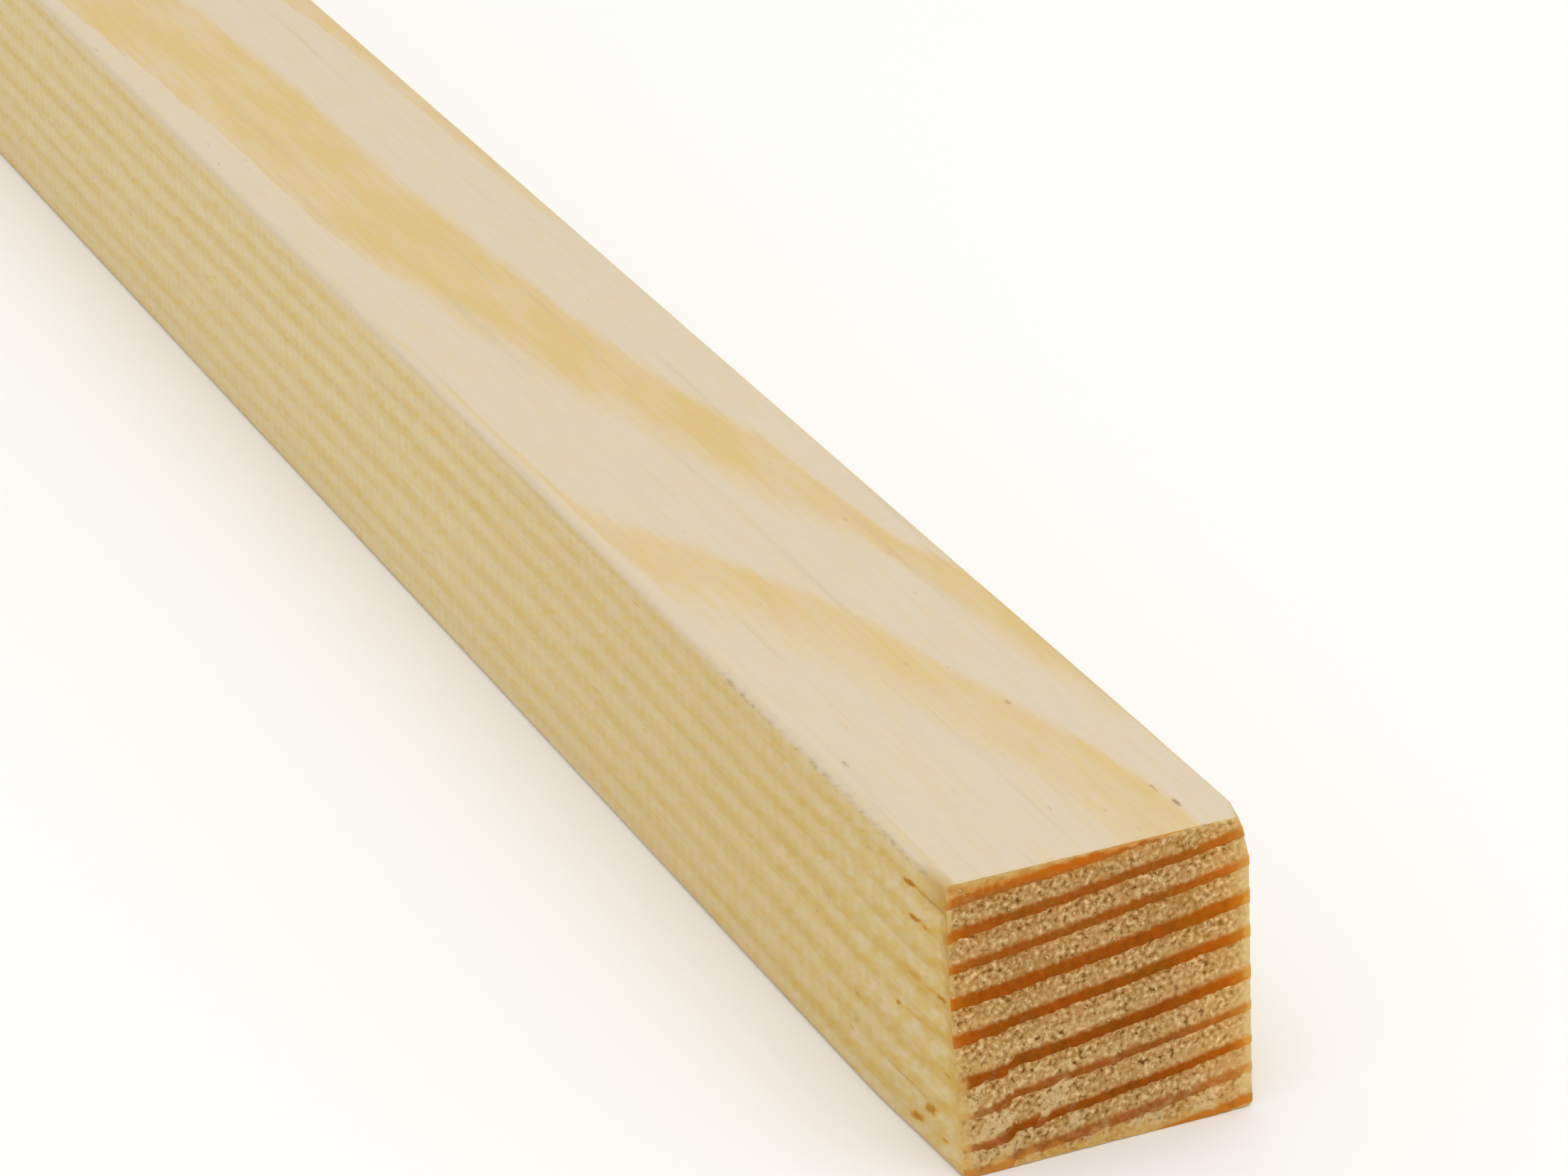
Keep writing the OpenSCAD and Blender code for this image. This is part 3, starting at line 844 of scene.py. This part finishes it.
def batten_tree():
    """Builds the tree, with its sizes as named inputs in mm."""
    sizes = ("Length", "Width", "Height", "Arris", "Worn Left", "Worn Right", "Raised Grain")
    saw_marks = ("Saw Kerf", "Sawn Depth", "Torn Height", "Rim Depth")
    tree, given = new_tree("planed_batten", (
        ("Float", sizes + saw_marks), ("Int", ("Cells Along", "Cells Across")),
        ("Material", ("Long Grain", "End Grain")),
    ), "Batten")

    # A gridded box, from -1 to 1 along and at real size across.
    box_size = add(tree, JOINED, [2.0, given["Width"], given["Height"]])
    corners_along = add(tree, MATH, [given["Cells Along"], 1.0], operation="ADD")
    corners_across = add(tree, MATH, [given["Cells Across"], 1.0], operation="ADD")
    box = add(tree, "GeometryNodeMeshCube", [box_size, corners_along, corners_across, corners_across])
    raw = add(tree, "GeometryNodeInputPosition")
    raw_parts = add(tree, PARTS, [raw]).node.outputs
    reach = add(tree, MATH, [raw_parts[0]], operation="ABSOLUTE")
    on_end = add(tree, MATH, [reach, ON_END], operation="GREATER_THAN")
    box = add(
        tree, "GeometryNodeStoreNamedAttribute", {"Geometry": box, "Name": END_ATTRIBUTE, "Value": on_end},
        data_type="BOOLEAN", domain="FACE",
    )
    # The sawn edge stays crisp: there the box turns a right angle at its end.
    turn = add(tree, "GeometryNodeInputMeshEdgeAngle")
    turn = add(tree, MATH, [turn, CRISP_TURN], operation="GREATER_THAN")
    crisp = add(tree, MATH, [turn, on_end], operation="MULTIPLY")
    box = add(
        tree, "GeometryNodeSetShadeSmooth", {"Geometry": box, "Selection": crisp, "Shade Smooth": False},
        domain="EDGE",
    )

    # Cells crowd towards both ends.
    half = add(tree, MATH, [given["Length"], 0.5], operation="MULTIPLY")
    along = add(tree, MATH, [raw_parts[0], CROWDING], operation="MULTIPLY")
    along = add(tree, MATH, [along], operation="TANH")
    along = add(tree, MATH, [along, 1 / math.tanh(CROWDING)], operation="MULTIPLY")
    along = add(tree, MATH, [along, half], operation="MULTIPLY")

    # Long edges: what lies beyond the core of the section is drawn onto an arc.
    section = add(tree, VECTOR, [raw, (0.0, 1.0, 1.0)], operation="MULTIPLY")
    half_box = add(tree, VECTOR, {0: box_size, "Scale": 0.5}, operation="SCALE")
    arris = add(tree, JOINED, {"Y": given["Arris"], "Z": given["Arris"]})
    core = add(tree, VECTOR, [half_box, arris], operation="SUBTRACT")
    minus_core = add(tree, VECTOR, {0: core, "Scale": -1.0}, operation="SCALE")
    inner = add(tree, VECTOR, [section, core], operation="MINIMUM")
    inner = add(tree, VECTOR, [inner, minus_core], operation="MAXIMUM")
    beyond = add(tree, VECTOR, [section, inner], operation="SUBTRACT")
    beyond_size = add(tree, VECTOR, [beyond], operation="ABSOLUTE")
    beyond_parts = add(tree, PARTS, [beyond_size]).node.outputs
    furthest = add(tree, MATH, [beyond_parts[1], beyond_parts[2]], operation="MAXIMUM")
    outwards = add(tree, VECTOR, [beyond], operation="NORMALIZE")
    rounded = add(tree, VECTOR, {0: outwards, "Scale": furthest}, operation="SCALE")
    rounded = add(tree, VECTOR, [inner, rounded], operation="ADD")
    lift = add(tree, MATH, [given["Height"], 0.5], operation="MULTIPLY")

    # Towards the near end the lower left edge and the upper right one are rubbed away.
    to_near = add(tree, MATH, [half, along], operation="SUBTRACT")
    worn_left = add(tree, RANGE, [to_near, WORN_LEFT_MM, 0.0])
    worn_right = add(tree, RANGE, [to_near, WORN_RIGHT_MM, 0.0])
    shares = add(tree, VECTOR, [raw, half_box], operation="DIVIDE")
    shares = add(tree, PARTS, [shares]).node.outputs
    height_share = add(tree, RANGE, [shares[2], -1.0, 1.0])
    low = add(tree, CURVE, {"Value": height_share}, points=WORN_LOW)
    low = add(tree, MATH, [low, given["Worn Left"]], operation="MULTIPLY")
    left = add(tree, RANGE, [shares[1], *WORN_LEFT_ACROSS])
    low = add(tree, MATH, [low, left], operation="MULTIPLY")
    low = add(tree, MATH, [low, worn_left], operation="MULTIPLY")
    upper = add(tree, RANGE, [height_share, WORN_HIGH, 1.0])
    upper = add(tree, MATH, [upper, given["Worn Right"]], operation="MULTIPLY")
    right = add(tree, RANGE, [shares[1], *WORN_RIGHT_ACROSS])
    upper = add(tree, MATH, [upper, right], operation="MULTIPLY")
    upper = add(tree, MATH, [upper, worn_right], operation="MULTIPLY")
    sideways = add(tree, MATH, [low, upper], operation="SUBTRACT")
    base = add(tree, JOINED, [along, sideways, lift])
    place = add(tree, VECTOR, [rounded, base], operation="ADD")

    # Relief of the planed faces: late wood keeps the planed size, early wood lies a little lower, and the
    # last of the long faces rolls in at the sawn rim.
    rings = growth_rings(tree, place)
    to_end = end_distance(tree, place)
    on_side = add(tree, MATH, [given["Arris"], TOUCH_MM], operation="SUBTRACT")
    on_side = add(tree, MATH, [furthest, on_side], operation="GREATER_THAN")
    proud = add(tree, MATH, [rings["late"], 1.0], operation="SUBTRACT")
    proud = add(tree, MATH, [proud, given["Raised Grain"]], operation="MULTIPLY")
    roll = add(tree, RANGE, [to_end, 0.0, ROLL_MM, 1.0, 0.0])
    roll = add(tree, MATH, [roll, 2.0], operation="POWER")
    roll = add(tree, MATH, [roll, given["Rim Depth"]], operation="MULTIPLY")
    proud = add(tree, MATH, [roll, -ROLLED, proud], operation="MULTIPLY_ADD")
    proud = add(tree, MATH, [proud, on_side], operation="MULTIPLY")
    shift = add(tree, VECTOR, {0: outwards, "Scale": proud}, operation="SCALE")

    # Relief of the sawn ends, measured back into the wood. It is read on the plane of the end and dies
    # out along the long faces, so that these are drawn in evenly and never fold.
    side_of = add(tree, MATH, [along], operation="SIGN")
    end_at = add(tree, MATH, [side_of, half], operation="MULTIPLY")
    place_parts = add(tree, PARTS, [place]).node.outputs
    on_plane = add(tree, JOINED, [end_at, place_parts[1], place_parts[2]])
    end_rings = growth_rings(tree, dragged(tree, on_plane))
    grit = add(tree, NOISE, {"Vector": on_plane, **CELL_NOISE})
    grit = add(tree, RANGE, [grit, *NOISE_SPREAD[::-1]])
    early = add(tree, MATH, [EARLY_ROUGH, end_rings["late"]], operation="SUBTRACT")
    sawn = add(tree, MATH, [grit, early], operation="MULTIPLY")
    sawn = add(tree, MATH, [sawn, given["Sawn Depth"]], operation="MULTIPLY")
    torn = torn_share(tree, on_plane)
    torn = add(tree, MATH, [torn, given["Torn Height"]], operation="MULTIPLY")
    sawn = add(tree, MATH, [sawn, torn], operation="SUBTRACT")
    rim = rim_share(tree, on_plane)
    shallow = add(tree, RANGE, [rim, 0.0, 1.0, 1.0, RIM_RELIEF])
    sawn = add(tree, MATH, [sawn, shallow], operation="MULTIPLY")
    sawn = add(tree, MATH, [rim, given["Rim Depth"], sawn], operation="MULTIPLY_ADD")
    sawn = add(tree, MATH, [sawn, given["Saw Kerf"]], operation="ADD")
    dies_out = add(tree, RANGE, [to_end, 0.0, DRAWN_IN_MM, 1.0, 0.0])
    sawn = add(tree, MATH, [sawn, dies_out], operation="MULTIPLY")
    inwards = add(tree, MATH, [side_of, sawn], operation="MULTIPLY")
    inwards = add(tree, JOINED, [inwards])
    shift = add(tree, VECTOR, [shift, inwards], operation="SUBTRACT")

    place = add(tree, VECTOR, [place, shift], operation="ADD")
    place = add(tree, VECTOR, {0: place, "Scale": MM}, operation="SCALE")
    skin = add(tree, "GeometryNodeSetPosition", {"Geometry": box, "Position": place})
    skin = add(tree, "GeometryNodeSetShadeSmooth", [skin])
    skin = add(tree, "GeometryNodeRealizeInstances", [skin])
    skin = add(tree, "GeometryNodeSetMaterial", {"Geometry": skin, "Material": given["Long Grain"]})
    sawn_faces = add(tree, "GeometryNodeInputNamedAttribute", {"Name": END_ATTRIBUTE}, data_type="BOOLEAN")
    skin = add(tree, "GeometryNodeSetMaterial", [skin, sawn_faces, given["End Grain"]])
    add(tree, "NodeGroupOutput", {"Batten": skin})
    return tree


def grow(name, tree, values, start=None):
    """Runs a tree on a new object with the given inputs and returns the result as a plain mesh object."""
    if start is None:
        start = bpy.data.meshes.new(name + "_start")
    source = bpy.data.objects.new(name, start)
    bpy.context.collection.objects.link(source)
    modifier = source.modifiers.new("nodes", "NODES")
    modifier.node_group = tree
    for item in tree.interface.items_tree:
        if item.item_type == "SOCKET" and item.in_out == "INPUT" and item.name in values:
            modifier[item.identifier] = values[item.name]
    depsgraph = bpy.context.evaluated_depsgraph_get()
    mesh = bpy.data.meshes.new_from_object(source.evaluated_get(depsgraph))
    source.modifiers.remove(modifier)
    for index in reversed([i for i, material in enumerate(mesh.materials) if material is None]):
        mesh.materials.pop(index=index)
    source.data = mesh
    return source


batten = grow("planed_batten", batten_tree(), {
    "Length": LENGTH, "Width": WIDTH, "Height": HEIGHT, "Arris": 0.5, "Worn Left": 0.55, "Worn Right": 0.6,
    "Raised Grain": 0.03, "Saw Kerf": 0.16, "Sawn Depth": 0.18, "Torn Height": 0.05, "Rim Depth": 0.06,
    "Cells Along": CELLS_ALONG, "Cells Across": CELLS_ACROSS,
    "Long Grain": long_grain, "End Grain": end_grain,
})
print(f"batten: {len(batten.data.polygons)} faces, {[m.name for m in batten.data.materials]}")

# %% [markdown]
# ## A map for baking
# A model that leaves Blender carries its colours as a picture, and a UV map says where each face lies on
# it. An automatic unwrap would cut a long thin batten into slivers. Here its faces lie flat the way a
# joiner would draw them: the four long faces as strips, and the two sawn ends as squares. Along a strip
# the two ends, where most of the detail is, get more than their share of the picture.

# %% Lay the faces of the batten out flat
# Places and sizes on the picture, as shares of its side: four strips, then two squares
STRIPS_FROM = 0.42
STRIP_PITCH = 0.145
STRIP_BREADTH = 0.135
STRIP_HALF_LENGTH = 0.49
END_LEFTS = (0.05, 0.55)
END_BOTTOM = 0.01
END_SIDE = 0.40


def read_all(items, name, width, kind):
    """Reads one property of all vertices, corners or faces as an array, one row for each."""
    values = np.empty(width * len(items), dtype=kind)
    items.foreach_get(name, values)
    return values.reshape(-1, width)


def lay_flat(mesh, end_slot):
    """Adds the map to the mesh: four strips above, two squares below, none of them mirrored."""
    sizes = read_all(mesh.polygons, "loop_total", 1, np.int32)[:, 0]
    slots = np.repeat(read_all(mesh.polygons, "material_index", 1, np.int32)[:, 0], sizes)
    facing = np.repeat(read_all(mesh.polygons, "normal", 3, np.float32), sizes, axis=0)
    corners = read_all(mesh.loops, "vertex_index", 1, np.int32)[:, 0]
    along, across, height = read_all(mesh.vertices, "co", 3, np.float32)[corners].T / MM
    from_left = across / WIDTH + 0.5
    from_floor = height / HEIGHT
    # Strips: half of a strip's length goes by real length, the other half crowds towards the ends.
    share = 2 * along / LENGTH
    crowded = np.arctanh(share * math.tanh(CROWDING)) / CROWDING
    strip_u = 0.5 + STRIP_HALF_LENGTH * (share + crowded) / 2
    flat_face = np.abs(facing[:, 2]) > np.abs(facing[:, 1])
    forward = np.where(flat_face, facing[:, 2], -facing[:, 1]) > 0
    strip = 2 * flat_face + forward
    breadth = np.where(flat_face, from_left, from_floor)
    breadth = np.where(forward, breadth, 1 - breadth)
    strip_v = STRIPS_FROM + STRIP_PITCH * strip + STRIP_BREADTH * breadth
    # Squares: the near end at the left, the far end beside it.
    near = along > 0
    end_u = np.where(near, *END_LEFTS) + END_SIDE * np.where(near, from_left, 1 - from_left)
    end_v = END_BOTTOM + END_SIDE * from_floor
    on_end = slots == end_slot
    places = np.stack([np.where(on_end, end_u, strip_u), np.where(on_end, end_v, strip_v)], axis=1)
    layer = mesh.uv_layers.new(name="OFBake")
    layer.data.foreach_set("uv", places.astype(np.float32).ravel())
    return places.min(axis=0), places.max(axis=0)


map_low, map_high = lay_flat(batten.data, list(batten.data.materials).index(end_grain))
print(f"map from {map_low.round(3)} to {map_high.round(3)}")
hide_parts("batten")
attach(batten, "root")

# %% [markdown]
# ## Fibres that the saw tore
# A saw does not cut every fibre clean. Torn bits of early wood lie on the end as pale flakes and catch
# the light, a little larger where the end is torn. There are hundreds of them, so Geometry Nodes scatter
# points over the ends of the finished batten, in early wood only, and put a small bent cone on each,
# pressed thin. The cones are turned and sized by chance, from fixed seeds.

# %% The fibre material and the tree that scatters the fibres
FIBRE_SEED = 7
# Size of the noise that gives each fibre its tone
FIBRE_TONE_MM = 0.6
# Fibres lie where there is less late wood than this, and thin out below this height
LATE_BELOW = 0.25
OFF_FLOOR_MM = 2.0
# The least and most that a fibre points out of the end, across and up
LEAN_LEAST = (0.02, -0.8, -1.2)
LEAN_MOST = (0.10, 1.0, -0.2)
# Where it is turned inwards, drawn across the width, and how far at most
TURNED_IN = ((0.0, 1.0), (0.08, 0.5), (0.92, 0.5), (1.0, 0.0))
TURNED_IN_MOST = 2.2
# The smallest and largest size, how thin a fibre is for its breadth, and how far its tip bends
FIBRE_SIZES = (0.5, 1.0)
FIBRE_THIN = 0.18
FIBRE_BENT = 0.5


def torn_fibre():
    """Makes the material of the fibres, each a little lighter or browner than the next."""
    material, tree, shader, place = new_material("torn_pine_fibre", 0.7, 0.2)
    luck = add(tree, NOISE, {"Vector": place, "Scale": 1 / FIBRE_TONE_MM, "Detail": 1.0})
    colour = add(
        tree, RAMP, [luck],
        stops=[(0.30, linear("#B0844A")), (0.5, linear("#C8A268")), (0.7, linear("#DDBF8A"))],
    )
    tree.links.new(colour, shader.inputs["Base Color"])
    return material


def fibre_tree():
    """Builds the tree, with its sizes as named inputs in mm."""
    sizes = ("Fibres per mm2", "Stub Length", "Stub Thickness", "Torn Length", "Torn Thickness")
    tree, given = new_tree("torn_fibres", (
        ("Geometry", ("Batten",)), ("Float", sizes), ("Int", ("Seed",)), ("Material", ("Fibre",)),
    ), "Fibres")
    spot = add(tree, "GeometryNodeInputPosition")
    place = add(tree, VECTOR, {0: spot, "Scale": 1 / MM}, operation="SCALE")
    rings = growth_rings(tree, dragged(tree, place))
    torn = torn_share(tree, place)

    # Points on the sawn ends, in early wood and inside the rim.
    early = add(tree, RANGE, [rings["late"], LATE_BELOW, 0.0])
    place_parts = add(tree, PARTS, [place]).node.outputs
    off_floor = add(tree, RANGE, [place_parts[2], given["Torn Length"], OFF_FLOOR_MM])
    share = add(tree, MATH, [early, off_floor], operation="MULTIPLY")
    inside_rim = add(tree, RANGE, [rim_share(tree, place), 0.5, 0.0])
    share = add(tree, MATH, [share, inside_rim], operation="MULTIPLY")
    density = add(tree, MATH, [share, given["Fibres per mm2"]], operation="MULTIPLY")
    density = add(tree, MATH, [density, 1 / MM ** 2], operation="MULTIPLY")
    sawn_faces = add(tree, "GeometryNodeInputNamedAttribute", {"Name": END_ATTRIBUTE}, data_type="BOOLEAN")
    scatter = {"Mesh": given["Batten"], "Selection": sawn_faces, "Density": density, "Seed": given["Seed"]}
    points = add(tree, "GeometryNodeDistributePointsOnFaces", scatter)

    # Each fibre lies nearly flat on the end and points mostly down.
    side_of = add(tree, MATH, [place_parts[0]], operation="SIGN")
    pointing = {0: LEAN_LEAST, 1: LEAN_MOST, "Seed": given["Seed"]}
    chance = add(tree, "FunctionNodeRandomValue", pointing, data_type="FLOAT_VECTOR")
    outwards = add(tree, JOINED, [side_of, 1.0, 1.0])
    lean = add(tree, VECTOR, [chance, outwards], operation="MULTIPLY")
    # Near the left and right edges it points inwards, so that none stands out over the planed faces.
    from_left = add(tree, RANGE, [place_parts[1], -WIDTH / 2, WIDTH / 2])
    inwards = add(tree, CURVE, {"Value": from_left}, points=TURNED_IN)
    inwards = add(tree, RANGE, [inwards, 0.0, 1.0, -TURNED_IN_MOST, TURNED_IN_MOST])
    inwards = add(tree, JOINED, {"Y": inwards})
    lean = add(tree, VECTOR, [lean, inwards], operation="ADD")
    turned = add(tree, "FunctionNodeAlignRotationToVector", {"Vector": lean}, axis="Z")
    # Its thin side faces out of the end.
    facing = add(tree, JOINED, [side_of])
    turned = add(
        tree, "FunctionNodeAlignRotationToVector", {"Rotation": turned, "Vector": facing},
        axis="Y", pivot_axis="Z",
    )
    size_seed = add(tree, MATH, [given["Seed"], 1.0], operation="ADD")
    smallest, largest = FIBRE_SIZES
    size_chance = {2: smallest, 3: largest, "Seed": size_seed}
    size = add(tree, "FunctionNodeRandomValue", size_chance, data_type="FLOAT")
    longest = add(tree, MIX, {0: torn, 2: given["Stub Length"], 3: given["Torn Length"]})
    length = add(tree, MATH, [longest, size], operation="MULTIPLY")
    thickest = add(tree, MIX, {0: torn, 2: given["Stub Thickness"], 3: given["Torn Thickness"]})
    thick = add(tree, MATH, [thickest, size], operation="MULTIPLY")
    thin = add(tree, MATH, [thick, FIBRE_THIN], operation="MULTIPLY")
    fibre_size = add(tree, JOINED, [thick, thin, length])
    fibre_size = add(tree, VECTOR, {0: fibre_size, "Scale": MM}, operation="SCALE")

    # One fibre: a slim cone that bends more towards its tip.
    slim = {"Vertices": 5, "Side Segments": 3, "Radius Top": 0.2, "Radius Bottom": 0.5, "Depth": 1.0}
    cone = add(tree, "GeometryNodeMeshCone", slim)
    height = add(tree, PARTS, [spot]).node.outputs["Z"]
    bend = add(tree, MATH, [height, 2.0], operation="POWER")
    bend = add(tree, MATH, [bend, FIBRE_BENT], operation="MULTIPLY")
    bend = add(tree, JOINED, {"Y": bend})
    cone = add(tree, "GeometryNodeSetPosition", {"Geometry": cone, "Offset": bend})
    cone = add(tree, "GeometryNodeSetShadeSmooth", {"Geometry": cone})
    each = {"Points": points, "Instance": cone, "Rotation": turned, "Scale": fibre_size}
    fibres = add(tree, "GeometryNodeInstanceOnPoints", each)
    fibres = add(tree, "GeometryNodeRealizeInstances", [fibres])
    fibres = add(tree, "GeometryNodeSetMaterial", {"Geometry": fibres, "Material": given["Fibre"]})
    add(tree, "NodeGroupOutput", {"Fibres": fibres})
    return tree


fibres = grow("torn_fibres", fibre_tree(), {
    "Fibres per mm2": 1.6, "Stub Length": 0.26, "Stub Thickness": 0.26, "Torn Length": 0.40,
    "Torn Thickness": 0.32, "Seed": FIBRE_SEED, "Fibre": torn_fibre(),
}, batten.data)
print(f"fibres: {len(fibres.data.polygons)} faces")
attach(fibres, "root")

# %% [markdown]
# ## Floor and light
# The photograph shows the batten on plain white. A pale floor carries it, a white surround lights it from
# all sides, and one large soft light over the near end makes the top the brightest face.

# %% Floor, surround and softbox
# Half of the floor's side, how strongly the surround shines, and the softbox: its side, its power and its
# place from the near end
FLOOR_HALF_M = 4.0
SURROUND_STRENGTH = 0.845
SOFTBOX_SIDE_M = 1.2
SOFTBOX_WATTS = 6.7
SOFTBOX_FROM_END_M = Vector((0.25, 0.0, 1.35))

floor_material, _, floor_shader, _ = new_material("pale_studio_floor", 0.9, 0.0)
floor_shader.inputs["Base Color"].default_value = linear("#F4F4F2")
floor_mesh = bpy.data.meshes.new("floor")
floor_corners = [(x * FLOOR_HALF_M, y * FLOOR_HALF_M, 0) for x, y in ((-1, -1), (1, -1), (1, 1), (-1, 1))]
floor_mesh.from_pydata(floor_corners, [], [(0, 1, 2, 3)])
floor_mesh.materials.append(floor_material)
floor = bpy.data.objects.new("floor", floor_mesh)
bpy.context.collection.objects.link(floor)

world = bpy.data.worlds.new("white_surround")
world.use_nodes = True
background = world.node_tree.nodes["Background"]
background.inputs["Color"].default_value = (1.0, 1.0, 1.0, 1.0)
background.inputs["Strength"].default_value = SURROUND_STRENGTH
bpy.context.scene.world = world
bpy.context.scene.view_settings.view_transform = "Standard"

near_end = Vector((high.x, 0.0, HEIGHT / 2)) * MM
lamp = bpy.data.lights.new("overhead_softbox", "AREA")
lamp.size = SOFTBOX_SIDE_M
lamp.energy = SOFTBOX_WATTS
softbox = bpy.data.objects.new("overhead_softbox", lamp)
softbox.location = near_end + SOFTBOX_FROM_END_M
softbox.rotation_euler = (near_end - softbox.location).to_track_quat("-Z", "Y").to_euler()
bpy.context.collection.objects.link(softbox)
print(f"lit by a surround and a softbox of {SOFTBOX_SIDE_M} m")

# %% [markdown]
# ## Camera
# A long lens close to the axis keeps the edges nearly parallel. Its place was worked out from the four
# long edges and the end in the photograph. It aims at a point on the top face and leans a little to one side.

# %% The camera, placed from the near end
LENS_MM = 140.55
SENSOR_MM = 36.0
AIM_MM = Vector((high.x - 43.1, -1.77, HEIGHT))
CAMERA_MM = Vector((high.x + 291.0, -137.8, 185.9))
LEAN_DEG = -2.74
# How far the camera sees
FAR_CLIP_M = 20.0

lens = bpy.data.cameras.new("camera")
lens.lens = LENS_MM
lens.sensor_width = SENSOR_MM
lens.clip_end = FAR_CLIP_M
camera = bpy.data.objects.new("camera", lens)
turn = (AIM_MM - CAMERA_MM).to_track_quat("-Z", "Y").to_matrix().to_4x4()
turn = turn @ Matrix.Rotation(math.radians(LEAN_DEG), 4, "Z")
camera.matrix_world = Matrix.Translation(CAMERA_MM * MM) @ turn
bpy.context.collection.objects.link(camera)
bpy.context.scene.camera = camera
print(f"camera {(CAMERA_MM - AIM_MM).length:.0f} mm from its aim")
